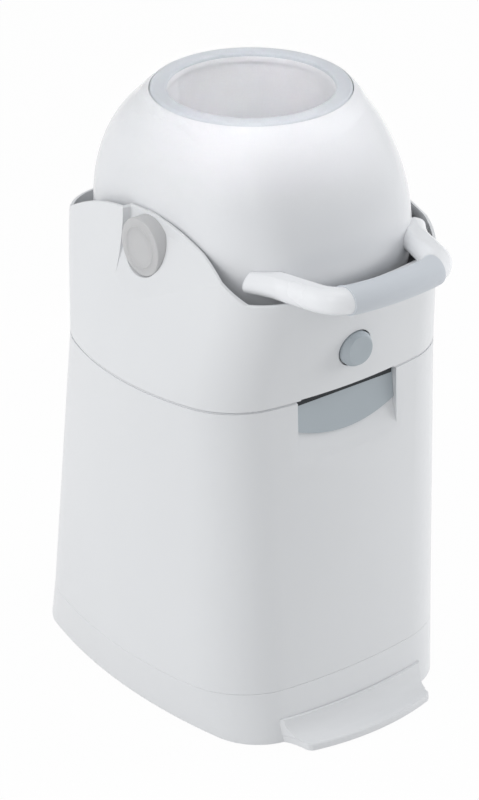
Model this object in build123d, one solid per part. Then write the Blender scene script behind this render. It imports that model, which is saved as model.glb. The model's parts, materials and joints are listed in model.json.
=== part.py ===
from build123d import *
import os
from math import asin, cos, sin, sqrt

# Flip-drum nappy bin. Millimetres, +Z up, front towards -Y, X to the right.
# The origin is on the floor, under the middle of the round mouth.

os.makedirs("parts", exist_ok=True)

# ---- casing outline at four heights: half width, front, rear, bows, corners ----
base_half_width = 155.0

floor_clearance = 2.0
floor_narrowing = 11.5
floor_half_width = base_half_width - floor_narrowing
floor_front = 166.0
floor_rear = 203.0
floor_side_bow = 25.5
floor_end_bow = 15.0
floor_corner = 60.0

base_seam_z = 55.0
base_front = 158.0
base_rear = 186.0
base_side_bow = 27.5
base_end_bow = 15.0
base_corner = 80.0

seam_z = 350.0
seam_widening = 3.0
seam_half_width = base_half_width + seam_widening
seam_front = 147.0
seam_rear = 148.0
seam_side_bow = 33.0
seam_end_bow = 16.5
seam_front_corner = 74.0
seam_rear_corner = 88.0

waist_z = 405.0
waist_narrowing = 14.0
waist_half_width = seam_half_width - waist_narrowing
waist_front = 155.5
waist_rear = 157.0
waist_side_bow = 21.0
waist_end_bow = 17.0

head_narrowing = 15.0
head_half_width = waist_half_width - head_narrowing
head_front = 163.0
head_rear = 163.0
head_side_bow = 11.0
head_end_bow = 17.0
head_corner = 58.0
ear_lean = 4.0
head_top_half_width = head_half_width - ear_lean

wall = 3.0
seam_gap = 0.3
seam_groove_height = 1.0
seam_groove_depth = 1.2
base_seam_round = 0.8
rim_round = 1.4

# ---- drum and its pivot ----
pivot_z = 473.0
drum_radius = 151.5
drum_crown = 227.0
drum_shoulder = 74.0
drum_side_inset = 18.5
drum_half_width = head_half_width - drum_side_inset
drum_flat = 118.0
drum_flat_edge = 5.0
drum_wall = 2.8
drum_lip_height = 4.0
drum_lip_thickness = 1.5
lip_clearance = 0.2

well_radius = 80.5
well_wall = 2.5
ring_outer_radius = 93.0
ring_inner_radius = 77.5
ring_height = 9.0
ring_outer_round = 5.5
ring_inner_round = 3.0
ring_shadow_step = 1.4
ring_shadow_height = 1.2

axle_radius = 12.0
axle_flange_radius = 22.0
axle_flange_thickness = 3.0
washer_radius = 24.0
washer_thickness = 1.0
running_clearance = 0.05
seat_clearance = 0.02
side_gap = 0.3

# ---- handle ----
handle_root_inset = 24.5
handle_root_x = drum_half_width - handle_root_inset
handle_root_y = 118.0
handle_corner_x = 63.0
handle_corner_y = 200.0
handle_front_y = 210.0
handle_corner_radius = 30.0
handle_front_radius = 280.0
handle_width = 26.0
handle_height = 25.0
handle_rest_gap = 0.4
grip_half_length = 52.0
grip_thickness = 1.2
flare_reach = 9.0
flare_length = 34.0
flare_sink = 0.6
flat_depth = 2.2
flat_end_y = 197.0
grip_seat_depth = 1.0

# ---- piston in the well ----
piston_radius = 79.6
piston_height = 62.0
piston_wall = 2.5
piston_dish = 3.0
wiper_radius = 80.2
wiper_height = 4.0
wiper_depth = 3.0
wiper_inset = 9.0
piston_weight_radius = 55.0
piston_weight_height = 14.0
piston_rest_gap = 0.2

# ---- housing ears and hubs ----
ear_top_z = 503.0
ear_arch_radius = 230.0
cheek_gap = 5.0
cheek_x = drum_half_width + cheek_gap
cheek_upright_z = 490.0
cheek_start_inset = 2.5
cheek_start_x = waist_half_width - cheek_start_inset
cheek_start_z = 415.0
cheek_rear_y = 31.0
cheek_wall = 2.7
hub_radius = 28.0
hub_clearance = 0.3
hub_face_x = head_half_width
hub_skin = 2.5
hub_floor_thickness = 3.5
hub_well_wall = 2.7
hub_face_round = 1.5
hub_ring_radius = 20.5
hub_ring_width = 1.6
hub_ring_height = 0.8
bush_wall = 3.0
bush_flange_radius = 18.5
bush_flange_thickness = 2.0
axle_end_inset = 8.0
axle_end_x = hub_face_x - axle_end_inset
axle_chamfer = 1.0

# ---- cradle under the drum ----
deck_thickness = 3.0
deck_lift = 2.0
deck_clearance = 0.3
cradle_gap = 4.1
cradle_wall = 3.0
cradle_inset = 12.5
cradle_half_width = drum_half_width - cradle_inset
collar_radius = 88.5
collar_bottom_z = 290.0
seal_width = 8.5
seal_thickness = 3.2

# ---- release button and latch ----
button_z = 392.0
button_radius = 17.3
button_face_radius = 14.0
button_gap = 1.4
button_proud = 8.0
button_bevel = 5.0
button_back_y = 151.0
button_web_y = 157.0
button_travel = 4.5
stem_radius = 6.0
stem_clearance = 0.3
stem_end_y = 143.5
guide_wall = 2.5
guide_back_y = 146.0
guide_back_thickness = 1.5
sweep_clearance = 2.0
spring_radius = 9.5
spring_wire = 1.2
spring_turns = 4
slide_half_width = 8.0
slide_thickness = 2.5
slide_top_z = 398.0
slide_foot_rear_y = 122.0
slide_clearance = 0.6
hook_nose_reach = 9.0
hook_nose_height = 4.0
hook_gap = 1.0
hook_lead = 2.0
keeper_half_width = 15.0
keeper_height = 6.0
keeper_reach = 4.0
keeper_top_z = 338.0
keeper_lead = 2.0

# ---- grip recess under the seam ----
recess_half_width = 58.5
recess_depth = 12.0
recess_foot_z = 284.0
recess_scoop = 0.75
finger_slot_half_width = 55.0
finger_slot_height = 2.2
insert_thickness = 2.5
insert_clearance = 0.3
insert_end_drop = 30.0
insert_mid_drop = 42.0

# ---- rear hinge ----
hinge_offset = 8.0
knuckle_radius = 6.0
knuckle_head_half = 30.0
knuckle_pail_length = 20.0
knuckle_gap = 0.4
hinge_pin_radius = 2.5
knuckle_web = 11.0
hinge_pin_head_radius = 4.0
hinge_pin_head = 2.0

# ---- pail inside, plinth, feet and screws ----
pail_floor = 3.5
bag_ring_inset = 14.0
bag_ring_front = 130.0
bag_ring_width = 9.0
bag_ring_height = 5.0
bag_ring_z = 318.0
lug_height = 6.0
lug_width = 16.0
lug_reach = 7.0
lug_offset = 51.0
deck_plate = 3.5
foot_radius = 13.0
foot_height = 8.0
foot_spigot_radius = 5.0
foot_spigot = 8.0
foot_boss_wall = 4.0
foot_chamfer = 1.0
foot_inset = 51.5
foot_x = floor_half_width - foot_inset
foot_front_y = 112.0
foot_rear_y = 138.0
screw_radius = 2.0
screw_head_radius = 4.0
screw_head = 2.6
screw_length = 12.0
screw_clearance = 0.3
screw_slot_width = 1.0
screw_slot_depth = 1.3
screw_boss_radius = 6.0
screw_boss_height = 10.0
screw_x = 60.0
screw_front_y = 70.0
screw_rear_y = 110.0
deck_screw_inset = 46.0
deck_screw_x = seam_half_width - deck_screw_inset
deck_screw_y = 92.0
deck_boss_height = 16.0
plate_corner_x = 75.5
plate_corner_y = 186.0
plate_front_y = 197.0
plate_root_x = 93.0
plate_root_y = 148.0
plate_side_hollow = 5.0
plate_thickness = 7.0
plate_corner_round = 9.0
plate_edge_round = 2.0
plate_blend = 17.0

# ---- worked out from the sizes above ----
rim_z = pivot_z - handle_height / 2 - handle_rest_gap
hinge_y = seam_rear + hinge_offset
hinge_z = seam_z
deck_bottom_z = seam_z + deck_lift
deck_top_z = deck_bottom_z + deck_thickness
ring_top = drum_flat + ring_height
ring_sweep = sqrt(ring_top ** 2 + ring_outer_radius ** 2)
cradle_radius = ring_sweep + cradle_gap
hub_floor_in = drum_half_width + washer_thickness + side_gap
hub_floor_out = hub_floor_in + hub_floor_thickness
far = 900.0


def save(node, shape):
    """Write one node's solids to its own file."""
    export_step(shape, "parts/" + node + ".step")


def outline(half_width, front, rear, side_bow, end_bow, front_corner, rear_corner, inset=0.0):
    """Plan of the casing at one height: four bowed sides with rounded corners."""
    w, f, r = half_width - inset, front - inset, rear - inset
    x, yf, yr = w - side_bow, end_bow - f, r - end_bow
    mid = (r - f) / 2
    sides = [
        ThreePointArc((-x, yf), (0, -f), (x, yf)),
        ThreePointArc((x, yf), (w, mid), (x, yr)),
        ThreePointArc((x, yr), (0, r), (-x, yr)),
        ThreePointArc((-x, yr), (-w, mid), (-x, yf)),
    ]
    plan = make_face(sides)
    plan = fillet(plan.vertices().sort_by(Axis.Y)[:2], front_corner - inset)
    return fillet(plan.vertices().sort_by(Axis.Y)[-2:], rear_corner - inset)


def floor_plan(inset=0.0):
    return outline(floor_half_width, floor_front, floor_rear, floor_side_bow, floor_end_bow,
                   floor_corner, floor_corner, inset)


def base_plan(inset=0.0):
    return outline(base_half_width, base_front, base_rear, base_side_bow, base_end_bow,
                   base_corner, base_corner, inset)


def seam_plan(inset=0.0):
    return outline(seam_half_width, seam_front, seam_rear, seam_side_bow, seam_end_bow,
                   seam_front_corner, seam_rear_corner, inset)


def waist_plan(inset=0.0):
    return outline(waist_half_width, waist_front, waist_rear, waist_side_bow, waist_end_bow,
                   (seam_front_corner + head_corner) / 2, (seam_rear_corner + head_corner) / 2,
                   inset)


def head_plan(half_width, inset=0.0):
    return outline(half_width, head_front, head_rear, head_side_bow, head_end_bow,
                   head_corner, head_corner, inset)


def pail_loft(inset, low, high):
    """Straight-sided body from the base seam up to the mid seam, between two heights."""
    body = loft([Pos(0, 0, base_seam_z) * base_plan(inset), Pos(0, 0, seam_z) * seam_plan(inset)])
    return body & slab(low, high)


def head_loft(inset):
    """Leaning body of the upper housing, from the mid seam past the ears."""
    top = ear_top_z + wall
    return loft([
        Pos(0, 0, seam_z) * seam_plan(inset),
        Pos(0, 0, waist_z) * waist_plan(inset),
        Pos(0, 0, rim_z) * head_plan(head_half_width, inset),
        Pos(0, 0, top) * head_plan(head_top_half_width, inset),
    ])


def slab(low, high):
    """Everything between two heights."""
    return Pos(0, 0, (low + high) / 2) * Box(far, far, high - low)


def block(x0, x1, y0, y1, z0, z1):
    """Box given by its lowest and highest corners."""
    return Pos((x0 + x1) / 2, (y0 + y1) / 2, (z0 + z1) / 2) * Box(x1 - x0, y1 - y0, z1 - z0)


def rod_x(radius, x0, x1, y, z):
    """Cylinder along X."""
    return Pos((x0 + x1) / 2, y, z) * Rot(0, 90, 0) * Cylinder(radius, abs(x1 - x0))


def rod_y(radius, y0, y1, x, z):
    """Cylinder along Y."""
    return Pos(x, (y0 + y1) / 2, z) * Rot(90, 0, 0) * Cylinder(radius, abs(y1 - y0))


def rod_z(radius, z0, z1, x=0.0, y=0.0):
    """Upright cylinder."""
    return Pos(x, y, (z0 + z1) / 2) * Cylinder(radius, abs(z1 - z0))


def both_sides(shape):
    """A right-hand feature and its left-hand twin."""
    return shape + mirror(shape, Plane.YZ)


def seam_groove(low, high):
    """Ring that, cut away, leaves the shadow line round the casing at the mid seam."""
    ring = seam_plan(-wall) - seam_plan(seam_groove_depth)
    return Pos(0, 0, low) * extrude(ring, high - low)


# ---------------------------------------------------------------- plinth

def foot_places():
    """Where the four rubber feet stand."""
    return [(x, y) for x in (-foot_x, foot_x) for y in (-foot_front_y, foot_rear_y)]


def screw_places():
    """Where the four screws join the pail to the plinth."""
    return [(x, y) for x in (-screw_x, screw_x) for y in (-screw_front_y, screw_rear_y)]


def foot_plate():
    """Step plate at floor level, with hollow sides and a bowed front edge."""
    rx, ry, cx, cy = plate_root_x, plate_root_y, plate_corner_x, plate_corner_y
    mx, my = (rx + cx) / 2 - plate_side_hollow, (ry + cy) / 2
    edge = [
        ThreePointArc((-cx, -cy), (0, -plate_front_y), (cx, -cy)),
        ThreePointArc((cx, -cy), (mx, -my), (rx, -ry)),
        Line((rx, -ry), (-rx, -ry)),
        ThreePointArc((-rx, -ry), (-mx, -my), (-cx, -cy)),
    ]
    plan = make_face(edge)
    plan = fillet(plan.vertices().sort_by(Axis.Y)[:2], plate_corner_round)
    plate = extrude(plan, plate_thickness)
    rims = plate.edges().group_by(Axis.Z)[-1].sort_by(Axis.Y)[:-1]
    plate = fillet(rims, plate_edge_round)
    cove = Pos(0, 0, plate_thickness) * plate_cove() & extrude(plan, far / 2)
    return Pos(0, 0, floor_clearance) * (plate + cove)


def plate_cove():
    """Hollow blend from the step plate's top up into the bowed front of the plinth."""
    chord = floor_half_width - floor_side_bow
    bow_radius = (chord ** 2 + floor_end_bow ** 2) / (2 * floor_end_bow)
    inner, outer, up = bow_radius - wall, bow_radius + plate_blend, plate_blend
    turn = plate_blend * (1 - sqrt(0.5))
    section = make_face([
        Line((inner, 0, 0), (outer, 0, 0)),
        ThreePointArc((outer, 0, 0), (bow_radius + turn, 0, turn), (bow_radius, 0, up)),
        Line((bow_radius, 0, up), (inner, 0, up)),
        Line((inner, 0, up), (inner, 0, 0)),
    ])
    return Pos(0, bow_radius - floor_front, 0) * revolve(section, Axis.Z, 360)


def base_plinth():
    """Open-bottomed plinth with its step plate, foot bosses and deck."""
    bottom, top = floor_clearance, base_seam_z
    outer = loft([Pos(0, 0, bottom) * floor_plan(), Pos(0, 0, top) * base_plan()])
    outer = fillet(outer.edges().group_by(Axis.Z)[-1], base_seam_round)
    hollow = loft([Pos(0, 0, bottom) * floor_plan(wall), Pos(0, 0, top) * base_plan(wall)])
    hollow = hollow & slab(bottom, top - deck_plate)
    body = outer + foot_plate()
    body = body - hollow
    for x, y in foot_places():
        body = body + rod_z(foot_spigot_radius + foot_boss_wall, foot_height, top - deck_plate, x, y)
        body = body - rod_z(foot_spigot_radius + seat_clearance, foot_height,
                            foot_height + foot_spigot, x, y)
    for x, y in screw_places():
        body = body - rod_z(screw_radius + screw_clearance, top - deck_plate, top, x, y)
    return body


def rubber_feet():
    """Four feet whose spigots push up into the plinth's bosses."""
    feet = []
    for x, y in foot_places():
        pad = rod_z(foot_radius, 0, foot_height, x, y)
        pad = chamfer(pad.edges().group_by(Axis.Z)[0], foot_chamfer)
        feet.append(pad + rod_z(foot_spigot_radius, foot_height, foot_height + foot_spigot, x, y))
    return Compound(feet)


def screw(x, y, head_z):
    """Pan-head screw whose head's seat is at head_z, with its shank upwards."""
    body = rod_z(screw_head_radius, head_z - screw_head, head_z, x, y)
    body = fillet(body.edges().group_by(Axis.Z)[0], screw_head / 2)
    body = body + rod_z(screw_radius, head_z, head_z + screw_length, x, y)
    half, low = screw_slot_width / 2, head_z - screw_head
    slot = block(x - screw_head_radius, x + screw_head_radius, y - half, y + half,
                 low, low + screw_slot_depth)
    return body - slot


def base_screws():
    """Four screws up through the plinth's deck into the pail's floor."""
    return Compound([screw(x, y, base_seam_z - deck_plate) for x, y in screw_places()])


# ---------------------------------------------------------------- pail

def wall_front(z):
    """Y distance from the origin to the pail's front at x = 0."""
    share = (z - base_seam_z) / (seam_z - base_seam_z)
    return base_front + (seam_front - base_front) * share


def recess_tool(grow=0.0):
    """Scooped recess: a drum-shaped cut that is deepest at the seam and runs out below."""
    foot_y = -wall_front(recess_foot_z)
    back_y = -seam_front + recess_depth
    rise = seam_z - recess_foot_z
    mid_z = recess_foot_z + rise / 2
    mid_y = foot_y + (back_y - foot_y) * recess_scoop
    out_y = foot_y - wall - grow
    side = [
        Line((0, out_y, recess_foot_z), (0, foot_y, recess_foot_z)),
        ThreePointArc((0, foot_y, recess_foot_z), (0, mid_y, mid_z), (0, back_y, seam_z)),
        Line((0, back_y, seam_z), (0, out_y, seam_z)),
        Line((0, out_y, seam_z), (0, out_y, recess_foot_z)),
    ]
    body = extrude(make_face(side), recess_half_width + grow, dir=(1, 0, 0), both=True)
    return Pos(0, grow, 0) * body


def hinge_knuckles(spans, up):
    """Barrels round the hinge pin with webs that run into the casing's rear wall."""
    shape = None
    low = hinge_z + seam_gap if up else hinge_z - knuckle_web
    high = hinge_z + knuckle_web if up else hinge_z - seam_gap
    for x0, x1 in spans:
        barrel = rod_x(knuckle_radius, x0, x1, hinge_y, hinge_z)
        web = block(x0, x1, hinge_y - hinge_offset - wall, hinge_y + knuckle_radius / 2, low, high)
        web = web & rod_x(knuckle_web, x0, x1, hinge_y, hinge_z)
        piece = barrel + web
        shape = piece if shape is None else shape + piece
    return shape


def pail_knuckle_spans():
    inner = knuckle_head_half + knuckle_gap
    return [(-inner - knuckle_pail_length, -inner), (inner, inner + knuckle_pail_length)]


def bag_lugs():
    """Six small ledges inside the pail that carry the bag ring."""
    low = bag_ring_z - lug_height
    room = extrude(seam_plan(bag_ring_inset + lug_reach), lug_height)
    ring = pail_loft(wall / 2, low, bag_ring_z) - Pos(0, 0, low) * room
    half = lug_width / 2
    tools = block(-far, far, lug_offset - half, lug_offset + half, 0, seam_z)
    tools = tools + block(-far, far, -lug_offset - half, -lug_offset + half, 0, seam_z)
    tools = tools + both_sides(block(lug_offset - half, lug_offset + half, 0, far, 0, seam_z))
    return ring & tools


def pail_shell():
    """Bag pail: tapering walls, floor, scooped grip recess, bag lugs and hinge knuckles."""
    top = seam_z - seam_gap / 2
    outer = pail_loft(0, base_seam_z, top)
    outer = fillet(outer.edges().group_by(Axis.Z)[0], base_seam_round)
    inner = pail_loft(wall, base_seam_z + pail_floor, seam_z)
    body = outer - inner
    body = body + (recess_tool(wall) & outer)
    body = body - recess_tool()
    body = body - seam_groove(top - seam_groove_height, seam_z)
    body = body + ((bag_lugs() & outer) - recess_tool())
    body = body + (hinge_knuckles(pail_knuckle_spans(), False) - inner)
    for x, y in screw_places():
        body = body + rod_z(screw_boss_radius, base_seam_z, base_seam_z + screw_boss_height, x, y)
        body = body - rod_z(screw_radius + seat_clearance, base_seam_z,
                            base_seam_z + screw_boss_height, x, y)
    span = knuckle_head_half + knuckle_gap + knuckle_pail_length
    return body - rod_x(hinge_pin_radius + seat_clearance, -span, span, hinge_y, hinge_z)


def grip_insert():
    """Grey lining of the recess, with a lower edge that dips in the middle."""
    near, face = insert_clearance, insert_clearance + insert_thickness
    lining = Pos(0, -near, 0) * recess_tool() - Pos(0, -face, 0) * recess_tool()
    top = seam_z - seam_gap / 2 - seam_groove_height
    w = recess_half_width - insert_clearance
    front = make_face([
        Line((-w, 0, top), (w, 0, top)),
        Line((w, 0, top), (w, 0, top - insert_end_drop)),
        ThreePointArc((w, 0, top - insert_end_drop), (0, 0, top - insert_mid_drop),
                      (-w, 0, top - insert_end_drop)),
        Line((-w, 0, top - insert_end_drop), (-w, 0, top)),
    ])
    return lining & extrude(front, far / 2, dir=(0, -1, 0))


def latch_keeper():
    """Catch bar on the inside of the recess wall, which the hook's nose sits under."""
    back = -seam_front + recess_depth + wall
    low = keeper_top_z - keeper_height
    bar = block(-keeper_half_width, keeper_half_width, back - wall, back + keeper_reach,
                low, keeper_top_z)
    bar = chamfer(bar.edges().filter_by(Axis.X).sort_by(Axis.Y)[-2:].sort_by(Axis.Z)[-1],
                  keeper_lead)
    return bar - recess_tool(wall)


def bag_ring():
    """Hoop that the bag's mouth is folded over."""
    def hoop(inset):
        return outline(seam_half_width - bag_ring_inset, bag_ring_front,
                       seam_rear - bag_ring_inset, seam_side_bow, seam_end_bow,
                       seam_front_corner, seam_rear_corner - bag_ring_inset, inset)
    return Pos(0, 0, bag_ring_z) * extrude(hoop(0) - hoop(bag_ring_width), bag_ring_height)


def hinge_pin():
    """Steel pin through the rear knuckles, with a small head at each end."""
    span = knuckle_head_half + knuckle_gap + knuckle_pail_length
    pin = rod_x(hinge_pin_radius, -span, span, hinge_y, hinge_z)
    head = rod_x(hinge_pin_head_radius, span, span + hinge_pin_head, hinge_y, hinge_z)
    return pin + both_sides(head)


# ---------------------------------------------------------------- head

def cheek(grow=0.0):
    """Space beside the hubs that the outer wall leans in to, as far back as the crease."""
    slope = (cheek_start_x - cheek_x) / (cheek_upright_z - cheek_start_z)
    lean = grow * sqrt(1 + slope ** 2)
    profile = [
        (cheek_x - grow, 0, ear_top_z + far / 4),
        (cheek_x - grow, 0, cheek_upright_z),
        (cheek_start_x - lean, 0, cheek_start_z),
        (far / 2, 0, cheek_start_z),
        (far / 2, 0, ear_top_z + far / 4),
    ]
    face = make_face(Polyline(*profile, close=True))
    body = extrude(face, far / 2, dir=(0, -1, 0)) + extrude(face, cheek_rear_y + grow, dir=(0, 1, 0))
    return both_sides(body)


def below_rim():
    """Everything under the rim: level at front and rear, arched over the hubs."""
    arch = rod_x(ear_arch_radius, -far / 2, far / 2, 0, ear_top_z - ear_arch_radius)
    return slab(0, rim_z) + arch


def hub_seats(outer):
    """Round wells in the ears for the hub caps, with a floor that holds the bush."""
    r = hub_radius + hub_clearance
    well = rod_x(r + hub_well_wall, hub_floor_in, hub_face_x + wall, 0, pivot_z)
    return both_sides(well) & outer


def hub_bores():
    """What the hub seats leave open: the cap's well and the bush's hole."""
    r = hub_radius + hub_clearance
    cap = rod_x(r, hub_floor_out, far / 2, 0, pivot_z)
    bush = rod_x(axle_radius + running_clearance + bush_wall + seat_clearance,
                 hub_floor_in - side_gap, hub_floor_out, 0, pivot_z)
    return both_sides(cap + bush)


def deck_screw_places():
    """Where four screws hold the cradle's deck up against the housing's bosses."""
    return [(x, y) for x in (-deck_screw_x, deck_screw_x) for y in (-deck_screw_y, deck_screw_y)]


def deck_bosses(outer):
    """Bosses inside the housing, each with a web to the wall."""
    shape = None
    top = deck_top_z + deck_boss_height
    for x, y in deck_screw_places():
        boss = rod_z(screw_boss_radius, deck_top_z, top, x, y)
        side = 1 if x > 0 else -1
        x0, x1 = sorted((x, side * seam_half_width))
        web = block(x0, x1, y - wall / 2, y + wall / 2, deck_top_z, top)
        piece = boss + web
        shape = piece if shape is None else shape + piece
    return shape & outer


def head_housing():
    """Upper housing: leaning walls, arched ears, hub wells, button hole and knuckle."""
    low = seam_z + seam_gap / 2
    outer = (head_loft(0) - cheek()) & below_rim() & slab(low, far)
    outer = fillet(outer.edges().filter_by(lambda e: e.bounding_box().min.Z > rim_z - rim_round),
                   rim_round)
    hollow = head_loft(wall) - cheek(cheek_wall)
    body = outer - hollow
    body = body + hub_seats(outer)
    body = body - hub_bores()
    body = body + deck_bosses(outer)
    for x, y in deck_screw_places():
        body = body - rod_z(screw_radius + seat_clearance, deck_top_z,
                            deck_top_z + screw_length, x, y)
    body = body - seam_groove(seam_z, low + seam_groove_height)
    body = body - rod_y(button_radius + button_gap, -far / 2, -guide_back_y, 0, button_z)
    body = body - block(-finger_slot_half_width, finger_slot_half_width, -far / 2,
                        recess_depth - seam_front, low, seam_z + finger_slot_height)
    spans = [(-knuckle_head_half, knuckle_head_half)]
    body = body + (hinge_knuckles(spans, True) - hollow)
    return body - rod_x(hinge_pin_radius + running_clearance, -knuckle_head_half,
                        knuckle_head_half, hinge_y, hinge_z)


def drum_cradle():
    """Deck and trough under the drum, with the collar that reaches down into the bag."""
    deck = head_loft(wall + deck_clearance) & slab(deck_bottom_z, deck_top_z)
    outer_half = cradle_half_width + cradle_wall
    skin = rod_x(cradle_radius + cradle_wall, -outer_half, outer_half, 0, pivot_z)
    room = rod_x(cradle_radius, -cradle_half_width, cradle_half_width, 0, pivot_z)
    body = deck + (skin & slab(0, deck_top_z))
    collar_top = pivot_z - cradle_radius
    body = body + rod_z(collar_radius + cradle_wall, collar_bottom_z, collar_top)
    body = body - room
    body = body - rod_z(collar_radius, collar_bottom_z, pivot_z)
    half = slide_half_width + slide_clearance
    slot = block(-half, half, -slide_foot_rear_y - slide_thickness - hook_gap,
                 -slide_foot_rear_y + button_travel + hook_gap, 0, deck_top_z)
    body = body - (slot & slab(deck_bottom_z, deck_top_z))
    for x, y in deck_screw_places():
        body = body - rod_z(screw_radius + screw_clearance, deck_bottom_z, deck_top_z, x, y)
    return body


def drum_seal():
    """Rubber lip round the discharge opening, curved to the drum's sweep."""
    ring = rod_z(collar_radius + seal_width, 0, pivot_z) - rod_z(collar_radius, 0, pivot_z)
    half = cradle_half_width
    curve = rod_x(cradle_radius, -half, half, 0, pivot_z)
    curve = curve - rod_x(cradle_radius - seal_thickness, -half, half, 0, pivot_z)
    return ring & curve & slab(0, deck_bottom_z)


def cradle_screws():
    """Four screws up through the deck into the housing's bosses."""
    return Compound([screw(x, y, deck_bottom_z) for x, y in deck_screw_places()])


def axle_bush(side):
    """Flanged plain bearing for one axle."""
    bore = axle_radius + running_clearance
    sleeve = rod_x(bore + bush_wall, hub_floor_in, hub_floor_out, 0, pivot_z)
    flange = rod_x(bush_flange_radius, hub_floor_out, hub_floor_out + bush_flange_thickness,
                   0, pivot_z)
    body = sleeve + flange
    body = body - rod_x(bore, hub_floor_in, hub_floor_out + bush_flange_thickness, 0, pivot_z)
    return body if side > 0 else mirror(body, Plane.YZ)


def hub_cap(side):
    """Round grey cap over one axle end, with a plain raised ring on its face."""
    cap = rod_x(hub_radius, hub_floor_out, hub_face_x, 0, pivot_z)
    cap = fillet(cap.edges().group_by(Axis.X)[-1], hub_face_round)
    room = rod_x(hub_radius - hub_skin, hub_floor_out, hub_face_x - hub_skin, 0, pivot_z)
    ring = rod_x(hub_ring_radius, hub_face_x, hub_face_x + hub_ring_height, 0, pivot_z)
    ring = ring - rod_x(hub_ring_radius - hub_ring_width, hub_face_x,
                        hub_face_x + hub_ring_height, 0, pivot_z)
    body = cap - room + ring
    return body if side > 0 else mirror(body, Plane.YZ)


def button_guide():
    """Sleeve behind the front wall that the button runs in, trimmed clear of the drum."""
    r = button_radius + button_gap
    front = -waist_front
    sleeve = rod_y(r + guide_wall, front, -guide_back_y + guide_back_thickness, 0, button_z)
    body = sleeve - rod_y(r, front, -guide_back_y, 0, button_z)
    body = body - rod_y(stem_radius + stem_clearance, front, 0, 0, button_z)
    body = body - rod_x(ring_sweep + sweep_clearance, -far / 4, far / 4, 0, pivot_z)
    return body & head_loft(wall)


# ---------------------------------------------------------------- button and latch

def button_front():
    """Y distance to the housing's front at the button, at x = 0."""
    share = (button_z - seam_z) / (waist_z - seam_z)
    return seam_front + (waist_front - seam_front) * share


def release_button():
    """Bevelled round button with a hollow back and a push stem."""
    face = -button_front() - button_proud
    shoulder = face + button_bevel
    bevel = loft([
        Pos(0, face, button_z) * Rot(90, 0, 0) * Circle(button_face_radius),
        Pos(0, shoulder, button_z) * Rot(90, 0, 0) * Circle(button_radius),
    ])
    body = bevel + rod_y(button_radius, shoulder, -button_back_y, 0, button_z)
    body = body - rod_y(button_radius - hub_skin, -button_web_y, -button_back_y, 0, button_z)
    return body + rod_y(stem_radius, -button_web_y, -stem_end_y, 0, button_z)


def latch_slide():
    """Plate that the stem pushes, with a foot that slides on the deck."""
    foot_low = deck_top_z + seam_gap
    foot_high = foot_low + deck_thickness
    tongue = block(-slide_half_width, slide_half_width, -stem_end_y,
                   -stem_end_y + slide_thickness, foot_low, slide_top_z)
    foot = block(-slide_half_width, slide_half_width, -stem_end_y, -slide_foot_rear_y,
                 foot_low, foot_high)
    return tongue + foot


def latch_hook():
    """Springy hook under the slide's foot, whose nose sits under the keeper."""
    top = deck_top_z + seam_gap
    nose_top = keeper_top_z - keeper_height - hook_gap
    rear = -slide_foot_rear_y
    arm = block(-slide_half_width, slide_half_width, rear - slide_thickness, rear,
                nose_top - hook_nose_height, top)
    nose = block(-slide_half_width, slide_half_width, rear - hook_nose_reach, rear,
                 nose_top - hook_nose_height, nose_top)
    nose = chamfer(nose.edges().filter_by(Axis.X).sort_by(Axis.Y)[:2].sort_by(Axis.Z)[0],
                   hook_lead)
    return arm + nose


def button_spring():
    """Coil between the button's web and the guide's back."""
    length = button_web_y - guide_back_y - spring_wire
    pitch = length / spring_turns
    path = Helix(pitch=pitch, height=length, radius=spring_radius)
    start = Plane(origin=path @ 0, z_dir=path % 0)
    coil = sweep(start * Circle(spring_wire / 2), path=path)
    return Pos(0, -guide_back_y - spring_wire / 2, button_z) * Rot(90, 0, 0) * coil


# ---------------------------------------------------------------- drum

def drum_block(inset=0.0, flat=drum_flat):
    """Barrel turned about the pivot, with a flat for each mouth."""
    crown, shoulder = drum_crown - inset, drum_shoulder - inset
    half, top = drum_half_width - inset, drum_radius - inset
    x1 = (half - shoulder) / (1 - shoulder / crown)
    turn = asin(x1 / crown)
    y1 = top - crown * (1 - cos(turn))
    cx, cy = half - shoulder, y1 - shoulder * cos(turn)
    lean = (turn + asin(1.0)) / 2
    mx, my = cx + shoulder * sin(lean), cy + shoulder * cos(lean)
    edge = [
        Line((-half, 0, 0), (half, 0, 0)),
        Line((half, 0, 0), (half, 0, cy)),
        ThreePointArc((half, 0, cy), (mx, 0, my), (x1, 0, y1)),
        ThreePointArc((x1, 0, y1), (0, 0, top), (-x1, 0, y1)),
        ThreePointArc((-x1, 0, y1), (-mx, 0, my), (-half, 0, cy)),
        Line((-half, 0, cy), (-half, 0, 0)),
    ]
    barrel = revolve(make_face(edge), Axis.X, 360)
    return barrel & Box(far, far, 2 * flat)


def drum_outer():
    """Outer form of the drum, with its flats' edges softened, at the pivot."""
    body = drum_block()
    ends = body.faces().filter_by(Axis.Z)
    return fillet(ends.edges(), drum_flat_edge)


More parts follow.
